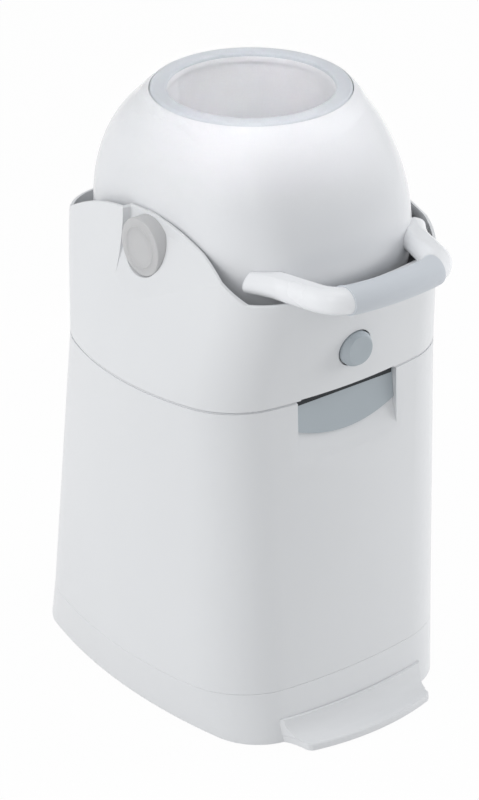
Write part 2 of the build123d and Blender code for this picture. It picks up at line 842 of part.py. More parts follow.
def drum_halves():
    """Two like shells, split level with the pivot, one with a locating lip."""
    room = drum_block(drum_wall, drum_flat - drum_wall)
    body = drum_outer() - room
    body = body - Cylinder(well_radius + well_wall + seat_clearance, 2 * far)
    axle = rod_x(axle_radius + seat_clearance, -far, far, 0, 0)
    body = body - axle
    body = body - Pos(0, 0, -pivot_z) * handle_bar(lip_clearance)
    upper = body & slab(0, far)
    lower = body & slab(-far, 0)
    lip = drum_block(drum_wall + lip_clearance, far) - drum_block(
        drum_wall + lip_clearance + drum_lip_thickness, far)
    lip = lip & slab(0, drum_lip_height)
    root = drum_block(drum_wall, far) - drum_block(
        drum_wall + lip_clearance + drum_lip_thickness, far)
    lip = lip + (root & slab(-drum_lip_height, 0))
    lip = lip - axle - rod_x(axle_flange_radius + lip_clearance, -far, far, 0, 0)
    lip = lip - Pos(0, 0, -pivot_z) * handle_bar(2 * drum_wall)
    place = Pos(0, 0, pivot_z)
    return place * upper, place * (lower + lip)


def well_tube():
    """Straight tube through the drum that the piston runs in."""
    tube = Cylinder(well_radius + well_wall, 2 * drum_flat) - Cylinder(well_radius, 2 * drum_flat)
    return Pos(0, 0, pivot_z) * tube


def mouth_ring(upper):
    """Grey trim ring round one mouth; its inner lip stops the piston."""
    band = ring_outer_radius - ring_inner_radius
    centre = (ring_outer_radius + ring_inner_radius) / 2
    section = Pos(centre, drum_flat + ring_height / 2) * Rectangle(band, ring_height)
    top = section.vertices().group_by(Axis.Y)[-1]
    section = fillet(top.sort_by(Axis.X)[-1], ring_outer_round)
    top = section.vertices().group_by(Axis.Y)[-1]
    section = fillet(top.sort_by(Axis.X)[0], ring_inner_round)
    step = Pos(ring_outer_radius - ring_shadow_step / 2, drum_flat + ring_shadow_height / 2)
    section = section - step * Rectangle(ring_shadow_step, ring_shadow_height)
    ring = revolve(Plane.XZ * section, Axis.Z, 360)
    if not upper:
        ring = mirror(ring, Plane.XY)
    return Pos(0, 0, pivot_z) * ring


def drum_axle(side):
    """Stub axle held by its flange inside the drum's side."""
    inner = drum_half_width - drum_wall
    body = rod_x(axle_radius, inner - axle_flange_thickness, axle_end_x, 0, pivot_z)
    body = body + rod_x(axle_flange_radius, inner - axle_flange_thickness, inner, 0, pivot_z)
    body = chamfer(body.edges().group_by(Axis.X)[-1], axle_chamfer)
    return body if side > 0 else mirror(body, Plane.YZ)


def thrust_washers():
    """One thin washer on each axle, between drum and housing."""
    ring = rod_x(washer_radius, drum_half_width, drum_half_width + washer_thickness, 0, pivot_z)
    ring = ring - rod_x(axle_radius + seat_clearance, drum_half_width,
                        drum_half_width + washer_thickness, 0, pivot_z)
    return Compound([ring, mirror(ring, Plane.YZ)])


def handle_path():
    """Centre line of the bow, level with the pivot."""
    points = [
        (-handle_root_x, -handle_root_y, pivot_z),
        (-handle_corner_x, -handle_corner_y, pivot_z),
        (0, -handle_front_y, pivot_z),
        (handle_corner_x, -handle_corner_y, pivot_z),
        (handle_root_x, -handle_root_y, pivot_z),
    ]
    return FilletPolyline(*points,
                          radius=[handle_corner_radius, handle_front_radius, handle_corner_radius])


def handle_bar(grow=0.0):
    """Bar of oval section along the bow, flared at its roots and flattened on top."""
    path = handle_path()
    start = Plane(origin=path @ 0, x_dir=(0, 0, 1), z_dir=path % 0)
    height, width = handle_height / 2 + grow, handle_width / 2 + grow
    bar = sweep(start * Ellipse(height, width), path=path)
    low = height - flare_sink
    flare = loft([
        start * Ellipse(low, width + flare_reach),
        start.offset(flare_length / 2) * Ellipse(low, width + flare_reach / 3),
        start.offset(flare_length) * Ellipse(low, width - flare_sink),
    ])
    return bar + both_sides(flare) - handle_flat(grow)


def handle_flat(grow):
    """Wedge above the bow that leaves its arms flat on top, deepest at the drum."""
    top = pivot_z + handle_height / 2 + grow
    low = top - flat_depth * flat_end_y / (flat_end_y - handle_root_y)
    side = make_face(Polyline((0, -flat_end_y, top), (0, 0, low), (0, 0, top + flat_depth),
                              (0, -flat_end_y, top + flat_depth), close=True))
    return extrude(side, far / 2, dir=(1, 0, 0), both=True)


def grip_room(grow=0.0):
    """Stretch of the bow that the grey grip covers."""
    half = grip_half_length + grow
    return block(-half, half, -far / 2, -handle_corner_y + handle_width * 2, 0, far)


def handle_bow():
    """White bow whose ends are trapped between the drum's halves."""
    bar = handle_bar()
    waist = handle_bar(-grip_seat_depth)
    return (bar - grip_room()) + (waist & grip_room(grip_seat_depth))


def handle_grip():
    """Soft grey sleeve round the middle of the bow."""
    sleeve = handle_bar(grip_thickness) - handle_bar(-grip_seat_depth)
    return sleeve & grip_room(-lip_clearance)


# ---------------------------------------------------------------- piston

def piston_floor():
    """Height at which the piston rests on the lower mouth ring's lip."""
    return pivot_z - drum_flat + piston_rest_gap


def dish(z, up):
    """Shallow dish cut into a piston's end."""
    radius = (piston_weight_radius ** 2 + piston_dish ** 2) / (2 * piston_dish)
    centre = z + (radius - piston_dish if up else piston_dish - radius)
    return Pos(0, 0, centre) * Sphere(radius)


def piston_body():
    """Cup-shaped piston with a dished crown and two wiper grooves."""
    low = piston_floor()
    high = low + piston_height
    crown = piston_wall + piston_dish
    body = rod_z(piston_radius, low, high) - dish(high, True)
    body = body - rod_z(piston_radius - piston_wall - wiper_depth, low, high - crown)
    for z in wiper_levels():
        groove = rod_z(far / 4, z, z + wiper_height)
        body = body - (groove - rod_z(piston_radius - wiper_depth, z, z + wiper_height))
    return body


def wiper_levels():
    low = piston_floor()
    return (low + wiper_inset, low + piston_height - wiper_inset - wiper_height)


def piston_lid():
    """Dished disc that closes the piston's other end."""
    low = piston_floor()
    radius = piston_radius - piston_wall - wiper_depth - seat_clearance
    return rod_z(radius, low, low + piston_wall + piston_dish) - dish(low, False)


def piston_weight():
    """Steel disc on the lid that makes the piston fall when the drum is turned."""
    low = piston_floor() + piston_wall + piston_dish
    return rod_z(piston_weight_radius, low, low + piston_weight_height)


def piston_wipers():
    """Two felt rings in the piston's grooves."""
    rings = []
    for z in wiper_levels():
        outer = rod_z(wiper_radius, z, z + wiper_height)
        rings.append(outer - rod_z(piston_radius - wiper_depth, z, z + wiper_height))
    return Compound(rings)


def main():
    save("base_plinth", base_plinth())
    save("rubber_feet", rubber_feet())
    save("base_screws", base_screws())
    save("pail_shell", pail_shell())
    save("grip_insert", grip_insert())
    save("latch_keeper", latch_keeper())
    save("bag_ring", bag_ring())
    save("hinge_pin", hinge_pin())
    save("head_housing", head_housing())
    save("drum_cradle", drum_cradle())
    save("drum_seal", drum_seal())
    save("cradle_screws", cradle_screws())
    for name, side in (("left", -1), ("right", 1)):
        save("axle_bush_" + name, axle_bush(side))
        save("hub_cap_" + name, hub_cap(side))
        save("drum_axle_" + name, drum_axle(side))
    save("button_guide", button_guide())
    save("release_button", release_button())
    save("latch_slide", latch_slide())
    save("latch_hook", latch_hook())
    save("button_spring", button_spring())
    upper, lower = drum_halves()
    save("drum_shell_upper", upper)
    save("drum_shell_lower", lower)
    save("well_tube", well_tube())
    save("mouth_ring_upper", mouth_ring(True))
    save("mouth_ring_lower", mouth_ring(False))
    save("thrust_washers", thrust_washers())
    save("handle_bow", handle_bow())
    save("handle_grip", handle_grip())
    save("piston_body", piston_body())
    save("piston_lid", piston_lid())
    save("piston_weight", piston_weight())
    save("piston_wipers", piston_wipers())


main()
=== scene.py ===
import json
import math

import bpy
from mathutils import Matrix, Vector

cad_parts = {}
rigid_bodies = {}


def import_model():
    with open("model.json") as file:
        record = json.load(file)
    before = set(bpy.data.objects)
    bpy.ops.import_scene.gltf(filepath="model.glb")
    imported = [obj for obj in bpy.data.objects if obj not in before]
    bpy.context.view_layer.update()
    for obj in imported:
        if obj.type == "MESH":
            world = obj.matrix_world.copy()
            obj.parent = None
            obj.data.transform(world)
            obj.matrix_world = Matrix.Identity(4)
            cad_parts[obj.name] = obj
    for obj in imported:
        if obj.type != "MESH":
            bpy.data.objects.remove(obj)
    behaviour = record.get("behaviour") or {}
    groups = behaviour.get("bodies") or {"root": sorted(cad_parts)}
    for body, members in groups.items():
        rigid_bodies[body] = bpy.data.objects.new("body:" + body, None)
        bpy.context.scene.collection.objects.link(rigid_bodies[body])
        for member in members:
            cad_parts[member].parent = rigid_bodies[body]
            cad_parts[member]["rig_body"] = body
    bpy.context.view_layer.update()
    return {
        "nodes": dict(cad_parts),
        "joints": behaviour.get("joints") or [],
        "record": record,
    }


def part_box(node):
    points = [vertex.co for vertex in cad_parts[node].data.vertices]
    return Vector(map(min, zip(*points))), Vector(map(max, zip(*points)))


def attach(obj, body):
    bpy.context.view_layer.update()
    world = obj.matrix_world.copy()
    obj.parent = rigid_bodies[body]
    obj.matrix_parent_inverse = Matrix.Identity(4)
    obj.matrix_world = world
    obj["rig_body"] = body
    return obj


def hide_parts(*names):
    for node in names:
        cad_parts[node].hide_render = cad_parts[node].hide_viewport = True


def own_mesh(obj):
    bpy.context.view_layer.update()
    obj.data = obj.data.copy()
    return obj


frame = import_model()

bl_info = {
    "name": "Nappy bin dressing",
    "version": (1, 0, 0),
    "blender": (4, 5, 0),
    "location": "View3D > Sidebar > Nappy bin",
    "description": "Finishes a tip-over nappy bin: plastics, trim, fastenings and a studio",
    "category": "Object",
}

MM = 0.001
NODES = frame["nodes"]
JOINTS = {joint["name"]: joint for joint in frame["joints"]}
PIVOT = Vector(JOINTS["drum_turn"]["pos_m"])

# Points nearer to each other than this are merged, or count as lying on a corner.
MERGE_GAP = 0.01 * MM
CAD_MERGE_GAP = 0.005 * MM
CORNER_GAP = 0.1 * MM

# Edges flatter than these are shaded smooth on the pieces that are made here.
RING_ANGLE = math.radians(40)
HUB_ANGLE = math.radians(50)
BUTTON_ANGLE = math.radians(22)
FOOT_ANGLE = math.radians(30)

BUMP_SIZE = 0.1 * MM
PLASTIC_HAZE = 0.02
PLASTIC_IOR = 1.49
FLOOR_SIZE = 14

# Each lamp's place, the point it looks at, its width and height in metres, the spread of its
# beam in degrees, and whether reflections show it.
BODY_MIDDLE, MOUTH = (0, 0, 0.3), (0, 0, 0.59)
LAMPS = {
    "key": ((-2.7, 0.5, 1.5), BODY_MIDDLE, 1.8, 1.8, 180, False),
    "edge": ((-1.6, -1.3, 2.2), BODY_MIDDLE, 0.12, 1.6, 180, True),
    "fill": ((2.7, -1.0, 1.0), BODY_MIDDLE, 1.2, 1.6, 180, False),
    "top": ((0, -0.15, 2.4), BODY_MIDDLE, 1.2, 1.2, 180, True),
    "well": ((-0.48, -1.03, 1.70), MOUTH, 0.17, 0.17, 5, False),
}


# ---------------------------------------------------------------- sizes and colours

def colour_setting(name, description, default):
    return bpy.props.FloatVectorProperty(name=name, description=description, subtype="COLOR",
                                         size=3, min=0, max=1, default=default)


def length_setting(name, description, default):
    return bpy.props.FloatProperty(name=name, description=description, subtype="DISTANCE",
                                   default=default)


def angle_setting(name, description, degrees):
    return bpy.props.FloatProperty(name=name, description=description, subtype="ANGLE",
                                   default=math.radians(degrees))


def power_setting(name, description, default):
    return bpy.props.FloatProperty(name=name, description=description, unit="POWER",
                                   default=default)


class CasingSettings(bpy.types.PropertyGroup):
    body_colour: colour_setting("Body colour", "White of the moulded casing", (0.80, 0.81, 0.825))
    inner_colour: colour_setting(
        "Inner colour", "Duller white of the mouldings inside", (0.72, 0.73, 0.74))
    smooth_angle: angle_setting("Smooth angle", "Edges flatter than this are shaded smooth", 28)


class DrumSettings(bpy.types.PropertyGroup):
    drum_colour: colour_setting("Drum colour", "White of the glossy drum", (0.80, 0.81, 0.83))
    arm_colour: colour_setting(
        "Arm colour", "Clearer white of the handle's arms", (0.93, 0.94, 0.96))
    well_colour: colour_setting("Well colour", "White inside the mouth", (0.88, 0.88, 0.90))
    ring_colour: colour_setting(
        "Ring colour", "Silver grey of the mouth rings", (0.62, 0.65, 0.685))
    ring_sides: bpy.props.IntProperty(
        name="Ring sides", description="Steps round each mouth ring", default=160, min=24)
    ring_outer_round: length_setting(
        "Ring outer round", "Radius of the ring's outer edge", 3.4 * MM)
    ring_inner_round: length_setting(
        "Ring inner round", "Radius of the ring's inner edge", 2.4 * MM)
    sleeve_wall: length_setting(
        "Sleeve wall", "How far the white sleeve stands off the ring's bore", 0.4 * MM)
    sleeve_height: length_setting(
        "Sleeve height", "Height of the white sleeve under the ring's lip", 5.0 * MM)
    skirt_groove: length_setting(
        "Skirt groove", "Gap between a ring and the skirt round it", 0.6 * MM)
    skirt_width: length_setting("Skirt width", "Width of the skirt that meets the dome", 15.0 * MM)
    skirt_drop: length_setting(
        "Skirt drop", "From the ring's top down to the skirt's lip", 2.0 * MM)
    skirt_round: length_setting("Skirt round", "Rounding of the skirt's lip", 0.5 * MM)
    skirt_side: length_setting(
        "Skirt side", "Width of the skirt at the left and right, beside the cradle", 1.6 * MM)
    skirt_sink: length_setting(
        "Skirt sink", "How far the skirt's foot lies under the dome's skin", 0.2 * MM)
    skirt_steps: bpy.props.IntProperty(
        name="Skirt steps", description="Steps from the skirt's lip to its foot", default=8, min=2)
    turned_sides: bpy.props.IntProperty(
        name="Turned sides", description="Steps round each turned piece", default=96, min=24)
    hub_wall: length_setting("Hub wall", "Wall of the hollow hub cap", 2.5 * MM)
    hub_edge_round: length_setting("Hub edge round", "Radius of the hub cap's outer edge", 1.5 * MM)
    hub_bead_radius: length_setting(
        "Hub bead radius", "Outer radius of the plain bead on the hub's face", 20.5 * MM)
    hub_bead_width: length_setting("Hub bead width", "Width of that bead", 1.8 * MM)
    hub_bead_height: length_setting(
        "Hub bead height", "How far the bead stands off the face", 0.8 * MM)
    hub_dish: length_setting("Hub dish", "Depth of the shallow dish inside the bead", 0.5 * MM)


class TrimSettings(bpy.types.PropertyGroup):
    grip_colour: colour_setting("Grip colour", "Grey of the soft grip", (0.68, 0.715, 0.76))
    button_colour: colour_setting(
        "Button colour", "Bluish grey of the button and the recess lining", (0.46, 0.51, 0.545))
    hub_colour: colour_setting("Hub colour", "Warm grey of the hub caps", (0.57, 0.57, 0.575))
    rubber_colour: colour_setting("Rubber colour", "Dark grey of the feet", (0.10, 0.10, 0.105))
    # The strip colour below is painted shade: near black, for the deep shadow in the gap over the
    # recess lining.
    shade_strip_colour: colour_setting(
        "Shade strip colour", "Dark grey of the strip over the recess", (0.05, 0.055, 0.06))
    felt_colour: colour_setting("Felt colour", "Grey of the piston's wipers", (0.42, 0.42, 0.43))
    steel_colour: colour_setting("Steel colour", "Zinc-plated steel", (0.62, 0.63, 0.65))
    button_face_radius: length_setting(
        "Button face radius", "Flat of the button inside its bevel", 14.0 * MM)
    button_bevel: length_setting("Button bevel", "Depth of the button's bevel", 5.0 * MM)
    button_skirt: length_setting(
        "Button skirt", "From the button's bevel back to its rim", 5.1 * MM)
    button_wall: length_setting("Button wall", "Wall of the button's skirt", 2.5 * MM)
    button_web: length_setting(
        "Button web", "From the button's face to the back of its web", 4.1 * MM)
    button_stem: length_setting("Button stem", "Radius of the push stem", 6.0 * MM)
    # These three sizes place that strip of painted shade under the head's front edge.
    shade_strip_height: length_setting(
        "Shade strip height", "Height of the foam strip over the recess lining", 5.5 * MM)
    shade_strip_depth: length_setting("Shade strip depth", "Thickness of the foam strip", 0.9 * MM)
    shade_strip_inset: length_setting(
        "Shade strip inset", "Gap between the strip's ends and the lining's", 1.5 * MM)
    foot_sides: bpy.props.IntProperty(
        name="Foot sides", description="Steps round each rubber foot", default=48, min=24)
    foot_spigot: length_setting("Foot spigot", "Radius of a foot's spigot", 5.0 * MM)
    foot_radius: length_setting("Foot radius", "Radius of a rubber foot", 13.0 * MM)
    foot_height: length_setting("Foot height", "Height of a rubber foot", 8.0 * MM)
    foot_groove: length_setting(
        "Foot groove", "Depth of the ring pressed into a foot's sole", 0.8 * MM)


class StageSettings(bpy.types.PropertyGroup):
    key_power: power_setting("Key power", "Soft light from the left", 30.0)
    edge_power: power_setting(
        "Edge power", "Narrow lamp that draws a line on the drum's shoulder", 5.0)
    fill_power: power_setting("Fill power", "Second soft light, from the right", 36.0)
    top_power: power_setting("Top power", "Weak soft light from above", 5.0)
    well_power: power_setting(
        "Well power", "Narrow lamp that shines into the mouth from the front", 0.05)
    world_strength: bpy.props.FloatProperty(
        name="World strength", description="Even light from all round", default=0.50)
    floor_grey: bpy.props.FloatProperty(
        name="Floor grey", description="How light the floor's own surface is", default=0.86)
    floor_glow: bpy.props.FloatProperty(
        name="Floor glow", description="Share of plain white that the camera sees of the floor",
        default=0.97)
    camera_azimuth: angle_setting("Camera azimuth", "Turn of the camera round the bin", -38.0)
    camera_elevation: angle_setting(
        "Camera elevation", "Height of the camera above the horizon", 27.6)
    camera_distance: length_setting("Camera distance", "From the aim point to the camera", 3.316)
    camera_lens: bpy.props.FloatProperty(
        name="Camera lens", description="Focal length in millimetres", default=156.2)
    camera_aim: bpy.props.FloatVectorProperty(
        name="Camera aim", description="Point in the middle of the picture",
        subtype="TRANSLATION", size=3, default=(-8.4 * MM, 6.6 * MM, 275 * MM))


# ---------------------------------------------------------------- working by hand

def put_down():
    """Leaves edit mode and deselects everything."""
    if bpy.context.object and bpy.context.object.mode != "OBJECT":
        bpy.ops.object.mode_set(mode="OBJECT")
    bpy.ops.object.select_all(action="DESELECT")


def pick_up(piece):
    """Makes one piece the only selected and active one."""
    put_down()
    piece.select_set(True)
    bpy.context.view_layer.objects.active = piece


def choose(piece, kind, test):
    """Goes into edit mode with the vertices or faces whose middle passes the test."""
    pick_up(piece)
    mesh = piece.data
    for items in (mesh.vertices, mesh.edges, mesh.polygons):
        items.foreach_set("select", [False] * len(items))
    if kind == "VERT":
        for vertex in mesh.vertices:
            vertex.select = test(vertex.co)
    else:
        for face in mesh.polygons:
            face.select = test(face.center)
    bpy.context.tool_settings.mesh_select_mode = (kind == "VERT", False, kind == "FACE")
    bpy.ops.object.mode_set(mode="EDIT")


def choose_all(piece):
    """Goes into edit mode with the whole mesh selected."""
    pick_up(piece)
    bpy.ops.object.mode_set(mode="EDIT")
    bpy.ops.mesh.select_all(action="SELECT")


def apply_modifiers(piece):
    """Makes a piece's modifiers part of its mesh, in their order."""
    pick_up(piece)
    for modifier in list(piece.modifiers):
        bpy.ops.object.modifier_apply(modifier=modifier.name)


def rounded_rim(reach, radius, size, steps=5):
    """Rings of a quarter-round edge that ends on the face at this reach."""
    rings = []
    for step in range(steps + 1):
        turn = step / steps * math.pi / 2
        rings.append((reach - size * (1 - math.sin(turn)), radius - size * (1 - math.cos(turn))))
    return rings


def turned(start, axis, rings, sides, fill="NGON"):
    """A round piece drawn out of one disc or bare circle, ring by ring, as on a lathe.

    A ring is how far it lies from the start along the axis, and its radius."""
    reach, radius = rings[0]
    put_down()
    turn = Vector((0, 0, 1)).rotation_difference(axis).to_euler()
    bpy.ops.mesh.primitive_circle_add(vertices=sides, radius=radius, fill_type=fill,
                                      location=start + axis * reach, rotation=turn)
    piece = bpy.context.object
    pick_up(piece)
    bpy.ops.object.transform_apply(location=True, rotation=True, scale=True)
    choose_all(piece)
    if fill == "NOTHING":
        bpy.ops.mesh.select_mode(type="EDGE")
        bpy.ops.mesh.select_all(action="SELECT")
    for next_reach, next_radius in rings[1:]:
        move = axis * (next_reach - reach)
        bpy.ops.mesh.extrude_region_move(TRANSFORM_OT_translate={"value": move})
        if next_radius != radius:
            bpy.ops.transform.resize(value=(next_radius / radius,) * 3,
                                     center_override=start + axis * next_reach)
        reach, radius = next_reach, next_radius
    bpy.ops.mesh.select_all(action="SELECT")
    bpy.ops.mesh.normals_make_consistent(inside=False)
    put_down()
    return piece


def turned_band(start, rings, sides):
    """A band round the mouth's axis, drawn out of a bare circle and closed on itself."""
    piece = turned(start, Vector((0, 0, 1)), rings + rings[:1], sides, "NOTHING")
    choose_all(piece)
    bpy.ops.mesh.remove_doubles(threshold=MERGE_GAP)
    bpy.ops.mesh.normals_make_consistent(inside=False)
    put_down()
    return piece


def smooth(piece, angle):
    """Shades a piece smooth, but for its edges that are sharper than the angle."""
    pick_up(piece)
    bpy.ops.object.shade_smooth_by_angle(angle=angle)


def finish_piece(piece, name, body, material, replaces):
    """Names a finished piece, gives it its material and lets it ride on its body."""
    pick_up(piece)
    bpy.ops.object.transform_apply(location=True, rotation=True, scale=True)
    piece.name = name
    piece.data.name = name
    piece.data.materials.clear()
    piece.data.materials.append(material)
    if replaces:
        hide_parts(*replaces)
    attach(piece, body)
    put_down()
    return piece


def smooth_copy(node, name, material, angle):
    """A merged and smoothly shaded copy of a moulded node, which stands for it."""
    mesh = NODES[node].data.copy()
    piece = bpy.data.objects.new(name, mesh)
    bpy.context.scene.collection.objects.link(piece)
    choose_all(piece)
    bpy.ops.mesh.remove_doubles(threshold=CAD_MERGE_GAP)
    bpy.ops.mesh.customdata_custom_splitnormals_clear()
    put_down()
    smooth(piece, angle)
    weighted = piece.modifiers.new("even shading", "WEIGHTED_NORMAL")
    weighted.keep_sharp = True
    apply_modifiers(piece)
    return finish_piece(piece, name, NODES[node]["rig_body"], material, (node,))


def finish_node(node, material):
    """Gives a carried-over node its material."""
    piece = NODES[node]
    if not piece.material_slots:
        piece.data.materials.append(material)
    for place in piece.material_slots:
        place.material = material


# ---------------------------------------------------------------- shared shader groups

def new_group(name, inputs, outputs):
    """An empty shader group with named sockets, and its input and output nodes."""
    tree = bpy.data.node_groups.new(name, "ShaderNodeTree")
    for label, kind, value in inputs:
        socket = tree.interface.new_socket(name=label, in_out="INPUT", socket_type=kind)
        socket.default_value = value
    for label, kind in outputs:
        tree.interface.new_socket(name=label, in_out="OUTPUT", socket_type=kind)
    return tree, tree.nodes.new("NodeGroupInput"), tree.nodes.new("NodeGroupOutput")


def noise(tree, vector, scale, detail, roughness=0.5):
    """Noise texture whose scale is a number or a socket."""
    node = tree.nodes.new("ShaderNodeTexNoise")
    node.inputs["Detail"].default_value = detail
    node.inputs["Roughness"].default_value = roughness
    if isinstance(scale, (int, float)):
        node.inputs["Scale"].default_value = scale
    else:
        tree.links.new(scale, node.inputs["Scale"])
    tree.links.new(vector, node.inputs["Vector"])
    return node.outputs["Fac"]


def spread(tree, value, low, high, to_low, to_high):
    """Maps a value from one range to another."""
    node = tree.nodes.new("ShaderNodeMapRange")
    for socket, end in (("From Min", low), ("From Max", high), ("To Min", to_low),
                        ("To Max", to_high)):
        node.inputs[socket].default_value = end
    tree.links.new(value, node.inputs["Value"])
    return node.outputs["Result"]


def arithmetic(tree, operation, first, second):
    """One sum or the like, of numbers or sockets."""
    node = tree.nodes.new("ShaderNodeMath")
    node.operation = operation
    for socket, value in zip(node.inputs, (first, second)):
        if isinstance(value, (int, float)):
            socket.default_value = value
        else:
            tree.links.new(value, socket)
    return node.outputs["Value"]


def mix_colour(tree, factor, first, second):
    """A mix of two colours, through the sockets that this node keeps for colours."""
    node = tree.nodes.new("ShaderNodeMix")
    node.data_type = "RGBA"
    first_colour, second_colour, mixed_colour = node.inputs[6], node.inputs[7], node.outputs[2]
    tree.links.new(factor, node.inputs["Factor"])
    tree.links.new(first, first_colour)
    tree.links.new(second, second_colour)
    return mixed_colour


MATERIAL_GROUPS = {}
FINISHES = {}


def moulded_skin_group():
    """Colour drift, handling haze and fine texture of a moulded plastic."""
    tree, start, end = new_group(
        "moulded skin",
        [("Colour", "NodeSocketColor", (0.8, 0.8, 0.8, 1)),
         ("Shade", "NodeSocketColor", (0.75, 0.75, 0.75, 1)),
         ("Roughness", "NodeSocketFloat", 0.3),
         ("Haze", "NodeSocketFloat", 0.08),
         ("Grain Scale", "NodeSocketFloat", 900.0)],
        [("Colour", "NodeSocketColor"), ("Roughness", "NodeSocketFloat"),
         ("Height", "NodeSocketFloat")])
    place = tree.nodes.new("ShaderNodeTexCoord").outputs["Object"]
    drift = spread(tree, noise(tree, place, 5.0, 3.0), 0.35, 0.65, 0.0, 1.0)
    colour = mix_colour(tree, drift, start.outputs["Colour"], start.outputs["Shade"])
    haze = noise(tree, place, 22.0, 3.0)
    haze = arithmetic(tree, "MULTIPLY", spread(tree, haze, 0.3, 0.7, -1.0, 1.0),
                      start.outputs["Haze"])
    rough = arithmetic(tree, "ADD", haze, start.outputs["Roughness"])
    grain = noise(tree, place, start.outputs["Grain Scale"], 3.0)
    ripple = noise(tree, place, 60.0, 1.0)
    height = arithmetic(tree, "ADD", grain, arithmetic(tree, "MULTIPLY", ripple, 1.5))
    tree.links.new(colour, end.inputs["Colour"])
    tree.links.new(rough, end.inputs["Roughness"])
    tree.links.new(height, end.inputs["Height"])
    return tree


def fibre_group():
    """Crossed fine streaks, for felt and for brushed or drawn steel."""
    tree, start, end = new_group(
        "fine streaks",
        [("Colour", "NodeSocketColor", (0.5, 0.5, 0.5, 1)),
         ("Shade", "NodeSocketColor", (0.3, 0.3, 0.3, 1)),
         ("Roughness", "NodeSocketFloat", 0.4),
         ("Length", "NodeSocketFloat", 12.0),
         ("Scale", "NodeSocketFloat", 400.0)],
        [("Colour", "NodeSocketColor"), ("Roughness", "NodeSocketFloat"),
         ("Height", "NodeSocketFloat")])
    place = tree.nodes.new("ShaderNodeTexCoord").outputs["Object"]
    long_way = tree.nodes.new("ShaderNodeCombineXYZ")
    long_way.inputs["Y"].default_value = 1.0
    long_way.inputs["Z"].default_value = 1.0
    tree.links.new(arithmetic(tree, "DIVIDE", 1.0, start.outputs["Length"]),
                   long_way.inputs["X"])
    stretch = tree.nodes.new("ShaderNodeVectorMath")
    stretch.operation = "MULTIPLY"
    tree.links.new(place, stretch.inputs[0])
    tree.links.new(long_way.outputs["Vector"], stretch.inputs[1])
    streak = noise(tree, stretch.outputs["Vector"], start.outputs["Scale"], 4.0, 0.6)
    wide = spread(tree, streak, 0.3, 0.7, 0.0, 1.0)
    colour = mix_colour(tree, wide, start.outputs["Colour"], start.outputs["Shade"])
    rough = arithmetic(tree, "ADD", arithmetic(tree, "MULTIPLY", wide, 0.12),
                       start.outputs["Roughness"])
    tree.links.new(colour, end.inputs["Colour"])
    tree.links.new(rough, end.inputs["Roughness"])
    tree.links.new(streak, end.inputs["Height"])
    return tree


def shader(name, group, values, bump, **fixed):
    """A Principled material fed by one of the shared groups; fixed values sit on the shader."""
    material = bpy.data.materials.new(name)
    material.use_nodes = True
    tree = material.node_tree
    surface = tree.nodes["Principled BSDF"]
    skin = tree.nodes.new("ShaderNodeGroup")
    skin.node_tree = group
    for label, value in values.items():
        skin.inputs[label].default_value = value
    lift = tree.nodes.new("ShaderNodeBump")
    lift.inputs["Strength"].default_value = bump
    lift.inputs["Distance"].default_value = BUMP_SIZE
    tree.links.new(skin.outputs["Height"], lift.inputs["Height"])
    tree.links.new(skin.outputs["Colour"], surface.inputs["Base Color"])
    tree.links.new(skin.outputs["Roughness"], surface.inputs["Roughness"])
    tree.links.new(lift.outputs["Normal"], surface.inputs["Normal"])
    for label, value in fixed.items():
        surface.inputs[label.replace("_", " ")].default_value = value
    return material


def tone(colour, factor):
    """A colour made lighter or darker, with its alpha."""
    return tuple(channel * factor for channel in colour) + (1.0,)


def plastic(name, colour, roughness, grain=900.0, bump=0.05, shade=0.985):
    """Adds a moulded plastic, a rubber, or the near-black painted shade of the recess strip, to the
    finishes.
    """
    values = {"Colour": tone(colour, 1.0), "Shade": tone(colour, shade),
              "Roughness": roughness, "Haze": PLASTIC_HAZE, "Grain Scale": grain}
    FINISHES[name] = shader(name, MATERIAL_GROUPS["skin"], values, bump, IOR=PLASTIC_IOR)


def streaked(name, colour, roughness, length, scale, bump, shade, **fixed):
    """Adds a felt or a drawn metal to the finishes."""
    values = {"Colour": tone(colour, 1.0), "Shade": tone(colour, shade),
              "Roughness": roughness, "Length": length, "Scale": scale}
    FINISHES[name] = shader(name, MATERIAL_GROUPS["streaks"], values, bump, **fixed)


def mix_finishes():
    """Builds the shared groups and every finish of the bin."""
    scene = bpy.context.scene
    casing, drum, trim = scene.bin_casing, scene.bin_drum, scene.bin_trim
    MATERIAL_GROUPS["skin"] = moulded_skin_group()
    MATERIAL_GROUPS["streaks"] = fibre_group()
    plastic("white body", casing.body_colour, 0.30)
    plastic("white inner", casing.inner_colour, 0.48, grain=700.0)
    plastic("white drum", drum.drum_colour, 0.22, bump=0.03)
    plastic("white arms", drum.arm_colour, 0.26)
    plastic("white well", drum.well_colour, 0.34)
    plastic("silver ring", drum.ring_colour, 0.30, shade=0.96)
    plastic("grip grey", trim.grip_colour, 0.46, grain=1600.0, bump=0.3, shade=0.95)
    plastic("button grey", trim.button_colour, 0.40, grain=1300.0, bump=0.2, shade=0.96)
    plastic("hub grey", trim.hub_colour, 0.42, grain=1300.0, bump=0.2)
    plastic("foot rubber", trim.rubber_colour, 0.75, grain=2200.0, bump=0.6, shade=0.8)
    plastic("seal rubber", trim.hub_colour, 0.65, grain=1800.0, bump=0.4, shade=0.9)
    # Near-black painted shade for the gap under the head's front edge, worn by the recess strip.
    plastic("foam", trim.shade_strip_colour, 0.9, grain=2600.0, bump=0.8, shade=0.7)
    plastic("acetal", casing.inner_colour, 0.36, grain=1200.0)
    streaked("felt", trim.felt_colour, 0.85, 3.0, 1500.0, 0.9, 0.7)
    streaked("zinc steel", trim.steel_colour, 0.28, 9.0, 900.0, 0.15, 0.85, Metallic=1.0)
    streaked("spring steel", trim.steel_colour, 0.20, 14.0, 1200.0, 0.1, 0.7, Metallic=1.0)


